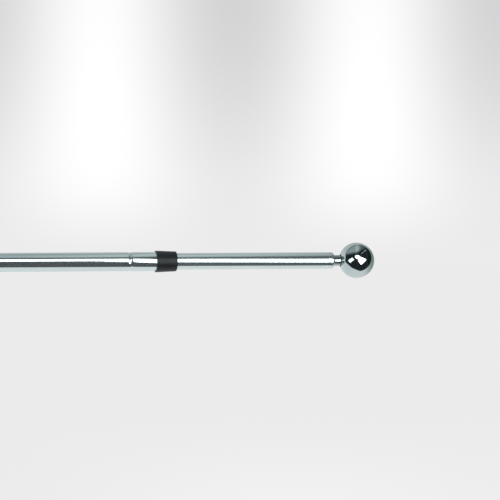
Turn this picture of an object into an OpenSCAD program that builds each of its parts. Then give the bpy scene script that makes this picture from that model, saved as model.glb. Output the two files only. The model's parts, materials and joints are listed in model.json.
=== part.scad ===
// Telescopic twist-lock flagpole with a chromed ball finial, standing upright.
// Millimetres. +Z runs up the pole, and the origin is the middle of the foot plug's flat underside.
// The lower tube stands in a holder. The upper tube slides in it through the guide collar, and a
// split sleeve inside the lower tube grips it where it is set when the upper tube is twisted.

/* [Lengths] */
// Length of the lower tube
lower_len = 1000; // [700:10:1600]
// Length of the upper tube
upper_len = 915; // [600:5:1150]
// Height from the collar's top to the finial's shoulder, as the pole is set
drawn_out = 269; // [30:1:500]

/* [Tubes] */
// Outer diameter of the lower tube
lower_d = 32; // [26:0.5:42]
// Wall of the lower tube
lower_wall = 1.2; // [0.8:0.1:1.6]
// Wall of the upper tube
upper_wall = 1.2; // [0.8:0.1:1.6]
// Gap on each side between the upper tube and the lower tube's bore
tube_gap = 0.8; // [0.5:0.05:1.2]

/* [Stop bead] */
// Distance from the collar's lower end down to the middle of the rolled bead
bead_drop = 44.5; // [8:0.5:100]
// Width of the bead along the tube
bead_w = 8; // [5:0.5:12]
// Gap on each side between the bead's crest and the upper tube
bead_gap = 0.15; // [0.1:0.05:0.3]

/* [Guide collar] */
// Length of the collar
collar_len = 35; // [24:1:55]
// How far the collar reaches down over the lower tube
collar_grip = 20; // [8:1:28]
// Wall of the collar at its wide lower end
base_wall = 2.1; // [1.6:0.1:4]
// Wall of the collar at its narrow upper end
lip_wall = 2.6; // [2:0.1:4]
// Radius of the collar's rounded upper edge
lip_round = 1.8; // [0.5:0.1:1.8]
// Bevel on the collar's lower edge
base_bevel = 0.4; // [0.2:0.1:1]
// Gap on each side between the collar's guide bore and the upper tube
guide_gap = 0.1; // [0.05:0.01:0.2]

/* [Foot plug] */
// Thickness of the plug's head below the tube
head_h = 5; // [3:0.5:10]
// How much smaller the head's radius is than the lower tube's
head_step = 0.2; // [0:0.1:1]
// Bevel on the head's lower edge
head_bevel = 1; // [0.3:0.1:2]
// Length of the plug inside the tube
insert_len = 20; // [10:1:35]
// Wall of the plug's hollow core
core_wall = 2; // [1:0.5:4]
// Number of gripping fins round the core
fins = 4; // [2:1:5]
// Height of each fin along the tube
fin_t = 1.2; // [0.8:0.1:2]
// Depth of the fins
fin_depth = 1.2; // [0.5:0.1:2]

/* [Finial] */
// Diameter of the ball
ball_d = 60; // [44:1:90]
// Shell thickness of the ball
ball_wall = 1.2; // [0.8:0.1:2]
// Diameter of the neck under the ball
neck_d = 18; // [12:0.1:21]
// Straight neck showing between the shoulder and the ball
neck_len = 10.5; // [3:0.5:25]
// Height of the straight rim between the upper tube and the shoulder
rim_h = 6; // [2:0.5:12]
// Radius of the shoulder's rounded upper edge
shoulder_round = 2.6; // [0.5:0.1:3]
// Length of the spigot inside the upper tube
spigot_len = 22; // [16:1:45]
// Diameter of the stud through the neck into the ball
stud_d = 8; // [6:0.5:10]
// Reach of the stud below the shoulder
stud_drop = 16; // [8:1:20]
// Height of the threaded boss inside the ball
boss_h = 10; // [6:1:14]
// Width of the boss around the neck's hole
boss_ring = 2.5; // [1:0.5:5]

/* [Twist lock] */
// Length of the split sleeve
sleeve_len = 36; // [28:1:60]
// Gap on each side between the sleeve and the lower tube's bore
sleeve_gap = 0.1; // [0.05:0.01:0.2]
// Wall of the sleeve at its lower end
sleeve_wall = 3; // [2:0.1:5]
// Gap on each side between the sleeve's bore and the cone
cone_gap = 0.3; // [0.1:0.1:0.5]
// Height of the cone's straight rim at its lower end
cone_rim_h = 3; // [1:0.5:6]
// How much wider the cone's narrow end is than the screw, on each side
cone_step = 1; // [0.5:0.1:2]
// Ring left whole at the sleeve's top, above its slots
ring_h = 7; // [4:0.5:12]
// Number of slots in the sleeve
slots = 4; // [3:1:6]
// Width of each slot
slot_w = 1.8; // [1:0.2:3]
// Diameter of the lock screw
screw_d = 8; // [6:0.5:10]
// Reach of the lock screw into the lock plug
screw_reach = 14; // [8:1:16]
// Length of the lock plug inside the upper tube
plug_len = 20; // [17:1:40]
// Thickness of the lock plug's flange under the upper tube
flange_h = 3; // [1.5:0.5:6]
// How much smaller the flange's radius is than the upper tube's
flange_step = 0.2; // [0:0.1:0.5]
// Gap between the flange and the sleeve
flange_gap = 0.5; // [0.2:0.1:1]

/* [Fits] */
// Gap on each side of pieces that are pressed, glued or screwed together
fit_gap = 0.05; // [0.02:0.01:0.1]

/* [Hidden] */

$fn = 128;
CUT = 1;      // how far a cutting body runs past the face that it cuts

// Tubes
lower_r = lower_d / 2;
lower_bore_r = lower_r - lower_wall;
upper_r = lower_bore_r - tube_gap;
upper_bore_r = upper_r - upper_wall;

// Heights, from the foot up
lower_z = head_h;
lower_top_z = lower_z + lower_len;
collar_z = lower_top_z - collar_grip;
collar_top_z = collar_z + collar_len;
bead_z = collar_z - bead_drop;
shoulder_z = collar_top_z + drawn_out;
upper_top_z = shoulder_z - rim_h;
upper_z = upper_top_z - upper_len;

// The bead is an arc pressed inwards to this depth
bead_depth = tube_gap - bead_gap;
bead_r = (bead_w * bead_w / 4 + bead_depth * bead_depth) / (2 * bead_depth);
bead_axis_r = lower_r - bead_depth + bead_r;

// Finial. The shoulder's rounded edge runs into a hollow fillet that ends at the neck.
neck_r = neck_d / 2;
shoulder_r = min(shoulder_round, (upper_r - neck_r) * 0.9);
fillet_r = upper_r - neck_r - shoulder_r;
neck_z = shoulder_z + shoulder_r + fillet_r;
ball_r = ball_d / 2;
ball_bore_r = ball_r - ball_wall;
ball_hole_r = neck_r + fit_gap;
ball_z = neck_z + neck_len + sqrt(ball_r * ball_r - neck_r * neck_r);
seat_z = ball_z - sqrt(ball_bore_r * ball_bore_r - ball_hole_r * ball_hole_r);
stud_z = shoulder_z - stud_drop;
stud_top_z = seat_z + boss_h;

// Twist lock, hung below the upper tube
flange_z = upper_z - flange_h;
sleeve_top_z = flange_z - flange_gap;
sleeve_z = sleeve_top_z - sleeve_len;
sleeve_r = lower_bore_r - sleeve_gap;
cone_z = sleeve_z + cone_rim_h;
cone_top_z = sleeve_top_z - ring_h;
cone_foot_r = sleeve_r - sleeve_wall - cone_gap;
cone_top_r = screw_d / 2 + cone_step;
screw_top_z = upper_z + screw_reach;

// A round bar between two heights
module bar(r, z, top) {
    translate([0, 0, z]) cylinder(r = r, h = top - z);
}

// Half section of a ring between two radii and two heights
module band(r0, r1, z0, z1) {
    translate([r0, z0]) square([r1 - r0, z1 - z0]);
}

// A disc in a half section
module disc(r, at) {
    translate(at) circle(r = r);
}

module lower_tube() {
    color("silver") rotate_extrude() difference() {
        union() {
            band(lower_bore_r, lower_r, lower_z, lower_top_z);
            // the ridge that the bead raises inside the bore
            intersection() {
                disc(bead_r + lower_wall, [bead_axis_r, bead_z]);
                band(lower_bore_r - CUT, lower_r - lower_wall / 2, bead_z - bead_w, bead_z + bead_w);
            }
        }
        disc(bead_r, [bead_axis_r, bead_z]);
    }
}

module foot_plug() {
    head_r = lower_r - head_step;
    fin_r = lower_bore_r - fit_gap;
    core_r = fin_r - fin_depth;
    pitch = insert_len / fins;
    color("#1e2022") rotate_extrude() {
        polygon([[0, 0], [head_r - head_bevel, 0], [head_r, head_bevel], [head_r, lower_z], [0, lower_z]]);
        band(core_r - core_wall, core_r, lower_z - CUT, lower_z + insert_len);
        for (i = [0.5 : fins - 0.5])
            band(core_r - core_wall, fin_r, lower_z + i * pitch, lower_z + i * pitch + fin_t);
    }
}

module guide_collar() {
    grip_r = lower_r + fit_gap;
    guide_r = upper_r + guide_gap;
    lip_r = guide_r + lip_wall;
    color("#24282b") translate([0, 0, collar_z]) rotate_extrude() {
        polygon([
            [grip_r, 0],
            [grip_r + base_wall - base_bevel, 0],
            [grip_r + base_wall, base_bevel],
            [lip_r, collar_len - lip_round],
            [lip_r - lip_round, collar_len - lip_round],
            [lip_r - lip_round, collar_len],
            [guide_r, collar_len],
            [guide_r, collar_grip],
            [grip_r, collar_grip],
        ]);
        intersection() {
            disc(lip_round, [lip_r - lip_round, collar_len - lip_round]);
            band(lip_r - lip_round, lip_r, collar_len - lip_round, collar_len);
        }
    }
}

module lock_sleeve() {
    bore_r = cone_top_r + cone_gap;
    foot_r = cone_foot_r + cone_gap;
    color("ivory") difference() {
        bar(sleeve_r, sleeve_z, sleeve_top_z);
        bar(bore_r, sleeve_z - CUT, sleeve_top_z + CUT);
        translate([0, 0, cone_z]) cylinder(r1 = foot_r, r2 = bore_r, h = cone_top_z - cone_z);
        bar(foot_r, sleeve_z - CUT, cone_z);
        for (i = [0 : slots - 1])
            rotate([0, 0, i * 360 / slots]) translate([0, -slot_w / 2, sleeve_z - CUT])
                cube([sleeve_r + CUT, slot_w, sleeve_len - ring_h + CUT]);
    }
}

module lock_screw() {
    color("gray") {
        bar(screw_d / 2, sleeve_z, screw_top_z);
        bar(cone_foot_r, sleeve_z, cone_z);
        translate([0, 0, cone_z]) cylinder(r1 = cone_foot_r, r2 = cone_top_r, h = cone_top_z - cone_z);
    }
}

module lock_plug() {
    color("ivory") difference() {
        union() {
            bar(upper_r - flange_step, flange_z, upper_z);
            bar(upper_bore_r - fit_gap, flange_z, upper_z + plug_len);
        }
        bar(screw_d / 2 + fit_gap, flange_z - CUT, screw_top_z);
    }
}

module upper_tube() {
    color("silver") difference() {
        bar(upper_r, upper_z, upper_top_z);
        bar(upper_bore_r, upper_z - CUT, upper_top_z + CUT);
    }
}

module finial_neck() {
    spigot_z = upper_top_z - spigot_len;
    color("silver") rotate_extrude() difference() {
        union() {
            band(0, upper_bore_r - fit_gap, spigot_z, shoulder_z);
            band(0, upper_r, upper_top_z, shoulder_z);
            band(0, upper_r - shoulder_r, shoulder_z - CUT, shoulder_z + shoulder_r);
            intersection() {
                disc(shoulder_r, [upper_r - shoulder_r, shoulder_z]);
                band(0, upper_r, shoulder_z, shoulder_z + shoulder_r);
            }
            band(0, neck_r + fillet_r, neck_z - fillet_r, neck_z);
            band(0, neck_r, neck_z - CUT, seat_z);
        }
        disc(fillet_r, [neck_r + fillet_r, neck_z]);
        band(0, stud_d / 2 + fit_gap, stud_z, seat_z + CUT);
    }
}

module finial_stud() {
    color("gray") bar(stud_d / 2, stud_z, stud_top_z);
}

module finial_ball() {
    color("silver") difference() {
        union() {
            translate([0, 0, ball_z]) difference() {
                sphere(r = ball_r);
                sphere(r = ball_bore_r);
            }
            bar(ball_hole_r + boss_ring, seat_z, stud_top_z);
        }
        bar(ball_hole_r, ball_z - ball_d, seat_z);
        bar(stud_d / 2 + fit_gap, seat_z - CUT, stud_top_z + CUT);
    }
}

lower_tube();
foot_plug();
guide_collar();
lock_sleeve();
lock_screw();
lock_plug();
upper_tube();
finial_neck();
finial_stud();
finial_ball();
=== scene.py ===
"""A telescopic flagpole: chromed tubes, a black guide collar and a mirror-polished ball finial.

Lengths are in metres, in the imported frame: +Z runs up the pole and the origin is under its foot.
Every visible piece is turned from a half section, because every piece is round about the pole's axis.
"""
import json
import math

import bmesh
import bpy
from mathutils import Matrix, Vector

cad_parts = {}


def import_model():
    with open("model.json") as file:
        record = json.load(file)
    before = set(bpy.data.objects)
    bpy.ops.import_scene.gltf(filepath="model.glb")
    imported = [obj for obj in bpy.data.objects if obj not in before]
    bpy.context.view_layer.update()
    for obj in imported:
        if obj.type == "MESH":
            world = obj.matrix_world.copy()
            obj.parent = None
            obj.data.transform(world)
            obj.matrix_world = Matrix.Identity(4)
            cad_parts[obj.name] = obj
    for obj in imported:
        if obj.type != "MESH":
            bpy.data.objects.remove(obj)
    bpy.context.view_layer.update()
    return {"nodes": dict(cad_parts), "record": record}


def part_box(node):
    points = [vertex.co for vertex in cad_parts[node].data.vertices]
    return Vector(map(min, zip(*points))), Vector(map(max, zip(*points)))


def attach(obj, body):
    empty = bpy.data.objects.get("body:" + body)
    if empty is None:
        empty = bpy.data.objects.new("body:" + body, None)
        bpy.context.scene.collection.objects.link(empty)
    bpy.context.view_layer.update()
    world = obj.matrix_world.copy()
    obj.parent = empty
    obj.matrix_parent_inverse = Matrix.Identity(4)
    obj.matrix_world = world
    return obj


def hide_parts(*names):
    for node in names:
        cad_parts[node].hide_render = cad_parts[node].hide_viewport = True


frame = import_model()

MM = 0.001
SEGMENTS = 144              # sides of a turned piece
BALL_SEGMENTS = 192         # sides of the ball, which shows its outline most
SHARP = math.radians(32)    # a corner of a half section that turns more than this shades as an edge
ON_AXIS = 1e-7              # a point of a half section nearer the axis than this is on it
LONGEST_ROUNDING = 0.48     # the most of a side that the rounding of one corner takes


def radius(node):
    """A round node's radius, from the nearest side of its box."""
    box_low, box_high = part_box(node)
    return min(-box_low.x, -box_low.y, box_high.x, box_high.y)


def low(node):
    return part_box(node)[0].z


def high(node):
    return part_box(node)[1].z


# ---- Sizes that a box doesn't give ----
TUBE_WALL = 1.2 * MM
EDGE = 0.3 * MM             # rounding of a cut or turned edge
RIM_EDGE = 0.6 * EDGE       # the same where the neck's rim meets the upper tube
BEAD_WIDTH = 8 * MM
BEAD_DEPTH = 0.65 * MM
COLLAR_GRIP = 20 * MM       # how far the collar reaches over the lower tube
GUIDE_GAP = 0.1 * MM
LIP_WALL = 2.6 * MM
LIP_ROUND = 1.8 * MM
FOOT_HEAD = 5 * MM
FOOT_BEVEL = 1 * MM
FOOT_CORE_WALL = 2 * MM
FOOT_FINS = 4
FIN_HEIGHT = 1.2 * MM
FIN_DEPTH = 1.2 * MM
GATE_R = 2.2 * MM           # the recess round the moulding gate, under the foot
GATE_DEPTH = 0.5 * MM
GATE_SLOPE = 0.4 * MM
FIT = 0.05 * MM
NECK_R = 9 * MM
RIM_HEIGHT = 6 * MM
SHOULDER_ROUND = 2.6 * MM
SPIGOT_ROUND = 1 * MM
STUD_R = 4 * MM
BALL_WALL = 1.2 * MM
BOSS_RING = 2.5 * MM

LOWER_R = radius("lower_tube")
UPPER_R = radius("upper_tube")
BALL_R = radius("finial_ball")
BALL_Z = high("finial_ball") - BALL_R
SHAFT = next(m for m in frame["record"]["mounts"] if m["name"] == "shaft")
BEAD_Z = low("lower_tube") + SHAFT["dims"]["length_mm"] * MM + BEAD_WIDTH / 2


# ---- Half sections ----
def arc(centre, r, start, end, steps=8):
    """Points (radius, height) of an arc, in degrees from the outward direction."""
    turn = [math.radians(start + (end - start) * i / steps) for i in range(steps + 1)]
    return [(centre[0] + r * math.cos(a), centre[1] + r * math.sin(a)) for a in turn]


def rounded(corners, steps=4):
    """A closed outline with each corner (radius, height, rounding) rounded where its rounding isn't 0."""
    points = []
    for i, (x, y, r) in enumerate(corners):
        here = Vector((x, y))
        if r == 0:
            points.append((x, y))
            continue
        before = Vector(corners[i - 1][:2]) - here
        after = Vector(corners[(i + 1) % len(corners)][:2]) - here
        half = before.angle(after) / 2
        reach = min(r / math.tan(half), before.length * LONGEST_ROUNDING, after.length * LONGEST_ROUNDING)
        start, end = here + before.normalized() * reach, here + after.normalized() * reach
        for k in range(steps + 1):
            t = k / steps
            p = start * (1 - t) ** 2 + here * 2 * t * (1 - t) + end * t ** 2
            points.append((p.x, p.y))
    return points


def turned(name, outline, body, nodes, segments=SEGMENTS):
    """A closed piece made by turning a closed outline of (radius, height) points about the pole's axis."""
    mesh = bpy.data.meshes.new(name)
    bm = bmesh.new()
    rings = []
    for r, z in outline:
        if r < ON_AXIS:
            rings.append([bm.verts.new((0, 0, z))])
            continue
        turn = [2 * math.pi * k / segments for k in range(segments)]
        rings.append([bm.verts.new((r * math.cos(a), r * math.sin(a), z)) for a in turn])
    for i, ring in enumerate(rings):
        following = rings[(i + 1) % len(rings)]
        if len(ring) == 1 and len(following) == 1:
            continue
        for k in range(segments):
            j = (k + 1) % segments
            corners = [ring[k % len(ring)], ring[j % len(ring)],
                       following[j % len(following)], following[k % len(following)]]
            bm.faces.new(list(dict.fromkeys(corners)))
    bmesh.ops.recalc_face_normals(bm, faces=bm.faces)
    for face in bm.faces:
        face.smooth = True
    for edge in bm.edges:
        edge.smooth = edge.calc_face_angle(0) < SHARP
    bm.to_mesh(mesh)
    bm.free()
    piece = bpy.data.objects.new(name, mesh)
    bpy.context.scene.collection.objects.link(piece)
    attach(piece, body)
    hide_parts(*nodes)
    return piece


def supported(outline, inset=0.4 * MM):
    """The outline with a point close to both ends of each long side, which keeps its shading straight."""
    points = []
    for i, here in enumerate(outline):
        points.append(here)
        start, end = Vector(here), Vector(outline[(i + 1) % len(outline)])
        length = (end - start).length
        if length > 4 * inset:
            for t in (inset / length, 1 - inset / length):
                points.append(tuple(start.lerp(end, t)))
    return points


# ---- Materials ----
class Net:
    """A node tree that is built one node at a time.

    An input is a number, a colour or another node's output.
    """

    def __init__(self, tree):
        self.tree = tree
        tree.nodes.clear()

    def add(self, kind, values=(), **settings):
        node = self.tree.nodes.new(kind)
        for key, value in settings.items():
            setattr(node, key, value)
        for key, value in dict(values).items():
            self.feed(node.inputs[key], value)
        return node

    def feed(self, socket, value):
        if isinstance(value, bpy.types.NodeSocket):
            self.tree.links.new(value, socket)
        else:
            socket.default_value = value

    def math(self, operation, *values):
        return self.add("ShaderNodeMath", enumerate(values), operation=operation).outputs[0]

    def vector(self, operation, *values, output=0):
        return self.add("ShaderNodeVectorMath", enumerate(values), operation=operation).outputs[output]

    def blend(self, factor, low_colour, high_colour):
        node = self.add("ShaderNodeMix", {0: factor, 6: low_colour, 7: high_colour}, data_type="RGBA")
        return node.outputs[2]

    def scaled(self, colour, factor):
        node = self.add("ShaderNodeVectorMath", {0: colour, "Scale": factor}, operation="SCALE")
        return node.outputs[0]

    def step(self, value, start, end, low_value=0.0, high_value=1.0):
        """Eases from low_value to high_value as value goes from start to end."""
        inputs = {"Value": value, "From Min": start, "From Max": end,
                  "To Min": low_value, "To Max": high_value}
        return self.add("ShaderNodeMapRange", inputs, interpolation_type="SMOOTHSTEP").outputs[0]

    def noise(self, scale, detail=3.0, offset=(0, 0, 0)):
        """Noise in the frame's own coordinates. scale is its frequency along X, Y and Z, per metre."""
        place = self.add("ShaderNodeTexCoord").outputs["Object"]
        moved = self.add("ShaderNodeMapping", {"Vector": place, "Location": offset, "Scale": scale})
        inputs = {"Vector": moved.outputs[0], "Scale": 1.0, "Detail": detail, "Roughness": 0.55}
        return self.add("ShaderNodeTexNoise", inputs).outputs["Fac"]

    def height(self):
        """How far up the pole a point is."""
        place = self.add("ShaderNodeTexCoord").outputs["Object"]
        return self.add("ShaderNodeSeparateXYZ", {0: place}).outputs["Z"]


def new_material(name, **uniform):
    """A material with a Principled shader, and the net to feed it with.

    uniform values go on the shader's own sockets.
    """
    material = bpy.data.materials.new(name)
    material.use_nodes = True
    net = Net(material.node_tree)
    shader = net.add("ShaderNodeBsdfPrincipled", {key.replace("_", " "): v for key, v in uniform.items()})
    net.add("ShaderNodeOutputMaterial", {"Surface": shader.outputs[0]})
    return material, net, shader


def relief(net, shader, height, distance):
    """Raises the surface by height, a share of distance."""
    bump = net.add("ShaderNodeBump", {"Height": height, "Distance": distance, "Strength": 1.0})
    net.feed(shader.inputs["Normal"], bump.outputs["Normal"])


def plated(name, tint, bright, smooth, hazy, pits, marks, mark_depth, seed, bare=None, seam=None):
    """Plating, which a thin film of dust and oxide keeps from being fully bright.

    marks is the frequency of its polishing marks. smooth, hazy and pits are roughnesses.
    The plating stops at the height bare, and painted shade darkens it in the joint between the two heights
    in seam.
    """
    material, net, shader = new_material(name, Metallic=bright)
    lines = net.noise(marks, detail=2.0, offset=(seed, 0, 0))
    clouds = net.noise((60, 60, 24), offset=(0, seed, 0))
    specks = net.noise((2200, 2200, 2200), detail=0.0, offset=(0, 0, seed))
    wiped = net.math("MULTIPLY", net.step(clouds, 0.35, 0.7), net.step(lines, 0.35, 0.75))
    pitted = net.step(specks, 0.60, 0.64, 0.0, pits)
    rough = net.math("MAXIMUM", net.step(wiped, 0.0, 0.6, smooth, hazy), pitted)
    dull = [c * 0.95 for c in tint[:3]] + [1.0]
    colour = net.blend(net.step(clouds, 0.3, 0.8), tint, dull)
    if bare:
        colour = net.blend(net.step(net.height(), bare, bare + 1.5 * MM), colour, BARE_STEEL)
    # Painted shade: the colour darkens towards the joint between the heights in seam, and the plating is
    # rougher there
    if seam:
        joint_shade = net.step(net.height(), seam[0], seam[1])
        colour = net.blend(joint_shade, colour, PAINTED_JOINT_SHADE)
        rough = net.math("MAXIMUM", rough, net.math("MULTIPLY", joint_shade, 0.45))
    net.feed(shader.inputs["Base Color"], colour)
    net.feed(shader.inputs["Roughness"], rough)
    relief(net, shader, lines, mark_depth)
    return material


def moulded(name, colour, worn, smooth, hazy, grain, grain_depth, seed, **uniform):
    """Moulded plastic with a fine spark-eroded grain and faint marks drawn along the pole."""
    material, net, shader = new_material(name, **uniform)
    skin = net.noise((grain, grain, grain), detail=2.0, offset=(seed, 0, 0))
    drawn = net.noise((700, 700, 18), detail=2.0, offset=(0, seed, 0))
    clouds = net.noise((90, 90, 90), offset=(0, 0, seed))
    net.feed(shader.inputs["Base Color"], net.blend(net.step(drawn, 0.45, 0.8), colour, worn))
    wiped = net.math("MULTIPLY", clouds, drawn)
    net.feed(shader.inputs["Roughness"], net.step(wiped, 0.1, 0.45, smooth, hazy))
    relief(net, shader, net.math("ADD", skin, net.math("MULTIPLY", drawn, 0.8)), grain_depth)
    return material


def zinc(name):
    """Bright zinc plating on turned steel, with a spangle and the marks of the cut."""
    material, net, shader = new_material(name, Metallic=1.0)
    spangle = net.noise((260, 260, 260), detail=1.0)
    cut = net.noise((20, 20, 4200), detail=1.0)
    net.feed(shader.inputs["Base Color"], net.blend(spangle, (0.50, 0.51, 0.50, 1), (0.68, 0.68, 0.64, 1)))
    net.feed(shader.inputs["Roughness"], net.step(spangle, 0.2, 0.8, 0.22, 0.42))
    relief(net, shader, cut, 0.03 * MM)
    return material


BARE_STEEL = (0.50, 0.545, 0.545, 1)
# The colour of the painted shade in the joint where the neck meets the ball
PAINTED_JOINT_SHADE = (0.06, 0.065, 0.07, 1)
BALL_SEAT = BALL_Z - math.sqrt(BALL_R ** 2 - NECK_R ** 2)
CHROME = (0.86, 0.985, 1.0, 1)
MIRROR = (0.74, 0.86, 0.877, 1)
lower_chrome = plated("lower_chrome", CHROME, bright=0.915, smooth=0.055, hazy=0.085, pits=0.14,
                      marks=(40, 40, 3000), mark_depth=0.0010 * MM, seed=3.0)
upper_chrome = plated("upper_chrome", CHROME, bright=0.89, smooth=0.065, hazy=0.10, pits=0.15,
                      marks=(2400, 2400, 12), mark_depth=0.0010 * MM, seed=7.0)
# seam gives the heights where painted shade darkens the neck and the ball next to their joint
neck_chrome = plated("neck_chrome", CHROME, bright=0.94, smooth=0.08, hazy=0.18, pits=0.32,
                     marks=(30, 30, 3600), mark_depth=0.0010 * MM, seed=11.0,
                     bare=high("upper_tube") + RIM_HEIGHT + SHOULDER_ROUND * 0.6,
                     seam=(BALL_SEAT - 1.2 * MM, BALL_SEAT - 0.6 * MM))
ball_chrome = plated("ball_chrome", MIRROR, bright=0.995, smooth=0.015, hazy=0.06, pits=0.10,
                     marks=(300, 300, 300), mark_depth=0.0003 * MM, seed=17.0,
                     seam=(BALL_SEAT + 0.7 * MM, BALL_SEAT + 0.4 * MM))
BLACK = (0.011, 0.0155, 0.0185, 1)
WORN = (0.019, 0.025, 0.028, 1)
collar_black = moulded("collar_black", BLACK, WORN, smooth=0.34, hazy=0.48,
                       grain=2600, grain_depth=0.02 * MM, seed=5.0, IOR=1.42)
foot_black = moulded("foot_black", BLACK, WORN, smooth=0.38, hazy=0.55,
                     grain=2200, grain_depth=0.03 * MM, seed=9.0, IOR=1.5)
NYLON = (0.70, 0.68, 0.60, 1)
NYLON_WORN = (0.62, 0.60, 0.52, 1)
nylon = moulded("white_nylon", NYLON, NYLON_WORN, smooth=0.35, hazy=0.5,
                grain=1800, grain_depth=0.02 * MM, seed=13.0, IOR=1.53)
lock_zinc = zinc("lock_zinc")


def paint(piece, material):
    """Puts the material in the piece's slot, or in a new slot where it has none."""
    if piece.data.materials:
        piece.data.materials[0] = material
    else:
        piece.data.materials.append(material)


# ---- The lower tube, with its rolled bead ----
def lower_tube():
    bottom, top = low("lower_tube"), high("lower_tube")
    bore = LOWER_R - TUBE_WALL
    outer = [(LOWER_R, bottom + EDGE), (LOWER_R, BEAD_Z - BEAD_WIDTH * 0.75)]
    steps = 28
    for i in range(steps + 1):
        t = i / steps - 0.5
        dip = BEAD_DEPTH * (1 + math.cos(2 * math.pi * t)) / 2
        outer.append((LOWER_R - dip, BEAD_Z + t * BEAD_WIDTH))
    outer.append((LOWER_R, BEAD_Z + BEAD_WIDTH * 0.75))
    outline = arc((LOWER_R - EDGE, bottom + EDGE), EDGE, -90, 0, 4)[:-1]
    outline += supported(outer)[:-2]
    outline += arc((LOWER_R - EDGE, top - EDGE), EDGE, 0, 90, 4)
    outline += [(bore, top)]
    outline += [(r - TUBE_WALL, z) for r, z in reversed(outer[1:-1])]
    outline += [(bore, bottom)]
    return turned("lower_tube_shell", outline, "lower_section", ["lower_tube"])


# ---- The foot plug ----
def foot_plug():
    head_r = radius("foot_plug")
    fin_r = LOWER_R - TUBE_WALL - FIT
    core_r = fin_r - FIN_DEPTH
    bottom, top = low("foot_plug"), high("foot_plug")
    seat = bottom + FOOT_HEAD
    pitch = (top - seat) / FOOT_FINS
    inner_r = core_r - FOOT_CORE_WALL
    corners = [
        (0, bottom + GATE_DEPTH, 0), (GATE_R, bottom + GATE_DEPTH, 0.1 * MM),
        (GATE_R + GATE_SLOPE, bottom, 0.1 * MM),
        (head_r - FOOT_BEVEL, bottom, 0.3 * MM), (head_r, bottom + FOOT_BEVEL, 0.3 * MM),
        (head_r, seat, 0.15 * MM), (core_r, seat, 0),
    ]
    for i in range(FOOT_FINS):
        z = seat + (i + 0.5) * pitch
        corners += [(core_r, z, 0), (fin_r, z, 0.2 * MM),
                    (fin_r, z + FIN_HEIGHT, 0.5 * MM), (core_r, z + FIN_HEIGHT, 0)]
    corners += [(core_r, top, 0.4 * MM), (inner_r, top, 0.4 * MM), (inner_r, seat, 0), (0, seat, 0)]
    outline = supported(rounded(corners))
    return turned("foot_plug_moulding", outline, "lower_section", ["foot_plug"])


# ---- The guide collar ----
def guide_collar():
    base_r = radius("guide_collar")
    bottom, top = low("guide_collar"), high("guide_collar")
    bore = UPPER_R + GUIDE_GAP
    lip_r = bore + LIP_WALL
    grip_r = LOWER_R + FIT
    seat = bottom + COLLAR_GRIP
    corners = [
        (grip_r, bottom, 0.1 * MM), (base_r, bottom, 0.35 * MM), (lip_r, top, LIP_ROUND * 1.1),
        (bore, top, 0.35 * MM), (bore, seat, 0), (grip_r, seat, 0),
    ]
    outline = supported(rounded(corners, 8))
    return turned("guide_collar_moulding", outline, "lower_section", ["guide_collar"])


# ---- The upper tube ----
def upper_tube():
    bottom, top = low("upper_tube"), high("upper_tube")
    bore = UPPER_R - TUBE_WALL
    corners = [(UPPER_R, bottom, EDGE), (UPPER_R, top, RIM_EDGE), (bore, top, 0), (bore, bottom, 0)]
    outline = supported(rounded(corners))
    return turned("upper_tube_shell", outline, "upper_section", ["upper_tube"])


# ---- The finial: neck and ball ----
def finial_neck():
    shoulder = high("upper_tube") + RIM_HEIGHT
    fillet = UPPER_R - NECK_R - SHOULDER_ROUND
    neck_low = shoulder + SHOULDER_ROUND + fillet
    spigot_r = UPPER_R - TUBE_WALL - FIT
    bottom, top = low("finial_neck"), high("finial_neck")
    stud_low = low("finial_stud")
    outline = [(0, bottom)]
    outline += arc((spigot_r - SPIGOT_ROUND, bottom + SPIGOT_ROUND), SPIGOT_ROUND, -90, 0, 4)
    outline += [(spigot_r, high("upper_tube"))]
    outline += arc((UPPER_R - RIM_EDGE, high("upper_tube") + RIM_EDGE), RIM_EDGE, -90, 0, 4)
    outline += arc((UPPER_R - SHOULDER_ROUND, shoulder), SHOULDER_ROUND, 0, 90, 12)
    outline += arc((NECK_R + fillet, neck_low), fillet, 270, 180, 12)[1:]
    outline += [(NECK_R, top), (STUD_R + FIT, top), (STUD_R + FIT, stud_low), (0, stud_low)]
    return turned("finial_neck_turning", supported(outline), "upper_section", ["finial_neck"])


def finial_ball():
    hole_r = NECK_R + FIT
    boss_r = hole_r + BOSS_RING
    bore_r = BALL_R - BALL_WALL
    start = -math.degrees(math.acos(hole_r / BALL_R))
    inner = -math.degrees(math.acos(boss_r / bore_r))
    boss_top = high("finial_stud")
    seat = high("finial_neck")
    outline = arc((0, BALL_Z), BALL_R, start, 90, 96)[:-1] + [(0, BALL_Z + BALL_R)]
    outline += [(0, BALL_Z + bore_r)] + arc((0, BALL_Z), bore_r, 90, inner, 48)[1:]
    outline += [(boss_r, boss_top), (STUD_R + FIT, boss_top), (STUD_R + FIT, seat), (hole_r, seat)]
    return turned("finial_ball_shell", outline, "upper_section", ["finial_ball"],
                  BALL_SEGMENTS)


paint(lower_tube(), lower_chrome)
paint(foot_plug(), foot_black)
paint(guide_collar(), collar_black)
paint(upper_tube(), upper_chrome)
paint(finial_neck(), neck_chrome)
paint(finial_ball(), ball_chrome)
# The nodes inside the pole stay as the CAD has them
KEPT = {"lock_sleeve": nylon, "lock_plug": nylon, "lock_screw": lock_zinc, "finial_stud": lock_zinc}
for node, finish in KEPT.items():
    paint(frame["nodes"][node], finish)


# ---- Camera: far off, looking up along the pole, and turned so that the pole lies across the picture ----
VIEW_WIDTH = 0.8425         # what the picture takes in at the pole
LENS = 288.0
SENSOR = 36.0
DISTANCE = VIEW_WIDTH * LENS / SENSOR
TILT = math.radians(13.2)   # how far the camera looks up along the pole
ROLL = math.radians(0.3)
AIM_BELOW_BALL = 0.1853
AIM_X = -0.01845            # the pole runs a little below the picture's middle

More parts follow.
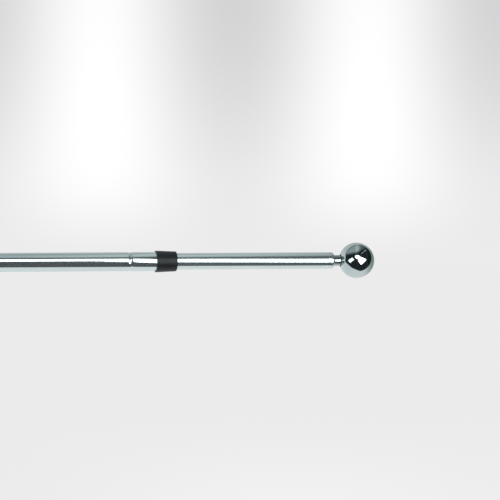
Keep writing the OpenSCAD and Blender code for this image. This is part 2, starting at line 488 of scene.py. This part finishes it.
forward = Vector((0, math.cos(TILT), math.sin(TILT)))
along = Vector((0, -math.sin(TILT), math.cos(TILT)))
across = Vector((-1, 0, 0))
right = along * math.cos(ROLL) - across * math.sin(ROLL)
up = across * math.cos(ROLL) + along * math.sin(ROLL)
camera_data = bpy.data.cameras.new("camera")
camera_data.lens = LENS
camera_data.sensor_width = SENSOR
camera_data.clip_end = 100.0
camera = bpy.data.objects.new("camera", camera_data)
bpy.context.scene.collection.objects.link(camera)
aim = Vector((AIM_X, 0, BALL_Z - AIM_BELOW_BALL))
place = aim - forward * DISTANCE
camera.matrix_world = Matrix.Translation(place) @ Matrix((right, up, -forward)).transposed().to_4x4()
bpy.context.scene.camera = camera
bpy.context.scene.view_settings.view_transform = "Standard"


# ---- Studio: what the plating reflects ----
BALL = Vector((0, 0, BALL_Z))
TO_CAMERA = (place - BALL).normalized()
BALL_RIGHT = across.cross(TO_CAMERA)
BALL_UP = TO_CAMERA.cross(BALL_RIGHT)
ROOM_RADIUS = 1.7
SCREEN_RADIUS = 1.6


def seen_at(x, y, distance):
    """The point of the room, at a distance from the ball, that shows at (x, y) on it.

    x and y are in ball radii, to the right and up, so the ball's rim is at 1.
    """
    facing = BALL_RIGHT * x + BALL_UP * y + TO_CAMERA * math.sqrt(1 - x * x - y * y)
    return BALL + (facing * 2 * facing.dot(TO_CAMERA) - TO_CAMERA) * distance


def only_reflected(piece):
    for kind in ("camera", "diffuse", "transmission", "volume_scatter", "shadow"):
        setattr(piece, f"visible_{kind}", False)


def light_screen(name, corners, strength):
    """A studio light screen, drawn by where its corners show on the ball."""
    mesh = bpy.data.meshes.new(name)
    mesh.from_pydata([seen_at(x, y, SCREEN_RADIUS) for x, y in corners], [], [range(len(corners))])
    piece = bpy.data.objects.new(name, mesh)
    bpy.context.scene.collection.objects.link(piece)
    material = bpy.data.materials.new(name)
    material.use_nodes = True
    net = Net(material.node_tree)
    light = net.add("ShaderNodeEmission", {"Color": (0.91, 0.98, 1, 1), "Strength": strength})
    net.add("ShaderNodeOutputMaterial", {"Surface": light.outputs[0]})
    paint(piece, material)
    only_reflected(piece)


def room():
    """The dim room in front of the pole and the pale studio round it.

    Both are painted by where they show on the ball, as in seen_at.
    """
    mesh = bpy.data.meshes.new("studio_room")
    bm = bmesh.new()
    bmesh.ops.create_icosphere(bm, subdivisions=3, radius=ROOM_RADIUS)
    bm.to_mesh(mesh)
    bm.free()
    piece = bpy.data.objects.new("studio_room", mesh)
    piece.location = BALL
    bpy.context.scene.collection.objects.link(piece)
    material = bpy.data.materials.new("studio_room")
    material.use_nodes = True
    material.cycles.emission_sampling = "NONE"
    net = Net(material.node_tree)
    way = net.vector("NORMALIZE", net.add("ShaderNodeTexCoord").outputs["Object"])
    facing = net.vector("NORMALIZE", net.vector("ADD", way, TO_CAMERA))
    x = net.vector("DOT_PRODUCT", facing, BALL_RIGHT, output=1)
    y = net.vector("DOT_PRODUCT", facing, BALL_UP, output=1)

    def line(across_x, across_y, constant):
        """across_x * x + across_y * y + constant"""
        sum_xy = net.math("ADD", net.math("MULTIPLY", x, across_x), net.math("MULTIPLY", y, across_y))
        return net.math("ADD", sum_xy, constant)

    # The studio is paler low on the ball than high on it, and dimmer on the right
    pale = net.blend(net.step(x, -0.5, -0.95), (0.58, 0.58, 0.577, 1), (0.67, 0.68, 0.69, 1))
    pale = net.blend(net.step(x, 0.35, 0.95), pale, (0.20, 0.265, 0.237, 1))
    pale = net.scaled(pale, line(0.0, -0.2, 1.0))
    # The dim room is a round opening, cut straight on its left and twice at its lower left
    off_x, off_y = net.math("SUBTRACT", x, 0.10), net.math("SUBTRACT", y, 0.135)
    from_middle = net.math("ADD", net.math("MULTIPLY", off_x, off_x), net.math("MULTIPLY", off_y, off_y))
    from_middle = net.math("SQRT", from_middle)
    inside = net.step(from_middle, 0.765, 0.725)
    inside = net.math("MULTIPLY", inside, net.step(x, -0.64, -0.59))
    inside = net.math("MULTIPLY", inside, net.step(line(0.886, 1.0, 0.6566), -0.02, 0.03))
    inside = net.math("MULTIPLY", inside, net.step(line(0.403, 1.0, 0.532), -0.02, 0.02))
    # Its ceiling is grey-blue, and darker on the right
    edge = net.math("MAXIMUM", line(0.19, 0.0, 0.40), line(0.52, 0.0, 0.39))
    ceiling = net.step(net.math("SUBTRACT", y, edge), -0.05, 0.17)
    ceiling_colour = net.blend(net.step(x, -0.12, 0.04), (0.29, 0.33, 0.34, 1), (0.46, 0.49, 0.488, 1))
    ceiling_colour = net.blend(net.step(x, 0.0, 0.32), ceiling_colour, (0.097, 0.13, 0.123, 1))
    cornice = net.step(from_middle, 0.66, 0.715, 1.0, 0.55)
    ceiling_colour = net.scaled(ceiling_colour, cornice)
    wall_colour = net.blend(net.step(x, 0.45, 0.75), (0.012, 0.014, 0.014, 1), (0.003, 0.009, 0.008, 1))
    corner = net.step(net.math("ABSOLUTE", net.math("SUBTRACT", x, 0.586)), 0.03, 0.0)
    wall_colour = net.blend(corner, wall_colour, (0.040, 0.030, 0.045, 1))
    dim = net.blend(ceiling, wall_colour, ceiling_colour)
    colour = net.blend(inside, pale, dim)
    light = net.add("ShaderNodeEmission", {"Color": colour, "Strength": 1.0})
    net.add("ShaderNodeOutputMaterial", {"Surface": light.outputs[0]})
    paint(piece, material)
    only_reflected(piece)


room()
# Each screen's strength, and where its corners show on the ball
SCREENS = {
    "light_screen_left": (1.6, [(-0.458, 0.004), (-0.225, 0.156), (-0.12, 0.036), (-0.356, -0.146)]),
    "light_screen_middle": (3.0, [(-0.082, 0.25), (0.05, 0.295), (0.12, 0.278), (0.16, 0.262),
                                  (0.12, 0.09), (0.016, 0.088), (-0.05, 0.14)]),
    "light_screen_right": (3.0, [(0.152, 0.25), (0.175, 0.236), (0.215, 0.192), (0.552, 0.042),
                                 (0.245, -0.245), (0.115, -0.055), (0.093, 0.02), (0.085, 0.09)]),
    "light_strip": (1.0, [(0.262, 0.338), (0.262, 0.356), (0.545, 0.588), (0.545, 0.570)]),
}
for screen, (strength, corners) in SCREENS.items():
    light_screen(screen, corners, strength)


# ---- Floor and surrounding light ----
FLOOR_RADIUS = 4.0
FADE_START, FADE_END = 1.0, 3.9     # the floor fades out between these distances from the pole


def floor():
    mesh = bpy.data.meshes.new("floor")
    bm = bmesh.new()
    bmesh.ops.create_circle(bm, cap_ends=True, segments=96, radius=FLOOR_RADIUS)
    bm.to_mesh(mesh)
    bm.free()
    piece = bpy.data.objects.new("floor", mesh)
    bpy.context.scene.collection.objects.link(piece)
    material, net, shader = new_material("floor", Roughness=0.9, Specular_IOR_Level=0.0)
    mottled = net.blend(net.noise((3, 3, 3)), (0.86, 0.86, 0.86, 1), (0.89, 0.89, 0.89, 1))
    net.feed(shader.inputs["Base Color"], mottled)
    from_pole = net.add("ShaderNodeTexCoord").outputs["Object"]
    fade = net.step(net.vector("LENGTH", from_pole, output=1), FADE_START, FADE_END)
    clear = net.add("ShaderNodeBsdfTransparent")
    mixed = net.add("ShaderNodeMixShader", {0: fade, 1: shader.outputs[0], 2: clear.outputs[0]})
    output = next(n for n in net.tree.nodes if n.type == "OUTPUT_MATERIAL")
    net.feed(output.inputs["Surface"], mixed.outputs[0])
    paint(piece, material)
    piece.visible_glossy = False


PLAIN_TONE = 0.9216         # the backdrop's display tone away from the pools of light
POOL_SPACING = 0.452        # from one pool to the next, across the view
POOL_SHIFT = 0.2525
POOL_TOP = 0.872            # how far up the view the pools reach
POOL_SWING = 0.425          # how far they swing the tone, per square metre


def world():
    """Plain pale surroundings. Seen directly, they have two soft pools of light high in the picture.

    Everything up to the last steps is a display tone, which is then turned into linear light.
    """
    scene_world = bpy.data.worlds.new("studio")
    bpy.context.scene.world = scene_world
    scene_world.use_nodes = True
    net = Net(scene_world.node_tree)
    way = net.vector("NORMALIZE", net.add("ShaderNodeTexCoord").outputs["Generated"])
    ahead = net.vector("DOT_PRODUCT", way, forward, output=1)
    x = net.math("DIVIDE", net.vector("DOT_PRODUCT", way, right, output=1), ahead)
    y = net.math("DIVIDE", net.vector("DOT_PRODUCT", way, up, output=1), ahead)
    # x and y are in metres across and up from the middle of the view, at the pole's distance
    x = net.math("MULTIPLY", x, DISTANCE)
    y = net.math("MULTIPLY", y, DISTANCE)
    turns = net.math("MULTIPLY", net.math("ADD", x, POOL_SHIFT), 2 * math.pi / POOL_SPACING)
    wave = net.math("COSINE", turns)
    height = net.math("MAXIMUM", net.math("ADD", y, 0.01), 0.0)
    swing = net.math("MULTIPLY", height, net.math("SUBTRACT", POOL_TOP, height))
    swing = net.math("MULTIPLY", swing, POOL_SWING)
    mean = net.math("ADD", net.step(y, 0.455, 0.101, 0.910, 0.957), net.step(y, 0.135, -0.042, 0.0, -0.0353))
    from_glow = net.math("ABSOLUTE", net.math("SUBTRACT", x, 0.08))
    glow = net.math("MULTIPLY", net.step(y, -0.26, -0.45, 0.0, 0.026), net.step(from_glow, 0.6, 0.0))
    near = net.math("MULTIPLY", net.step(ahead, 0.98, 0.995), net.step(y, 1.0, 0.6))
    pools = net.math("ADD", net.math("MULTIPLY", wave, swing), net.math("ADD", mean, glow))
    tone = net.math("ADD", PLAIN_TONE, net.math("MULTIPLY", near, net.math("SUBTRACT", pools, PLAIN_TONE)))
    level = net.math("POWER", net.math("DIVIDE", net.math("ADD", tone, 0.055), 1.055), 2.4)
    seen = net.add("ShaderNodeCombineColor", {0: level, 1: level, 2: level})
    rays = net.add("ShaderNodeLightPath").outputs["Is Camera Ray"]
    colour = net.blend(rays, (0.90, 0.92, 0.92, 1), seen.outputs[0])
    light = net.add("ShaderNodeBackground", {"Color": colour, "Strength": 1.0})
    net.add("ShaderNodeOutputWorld", {"Surface": light.outputs[0]})


floor()
world()
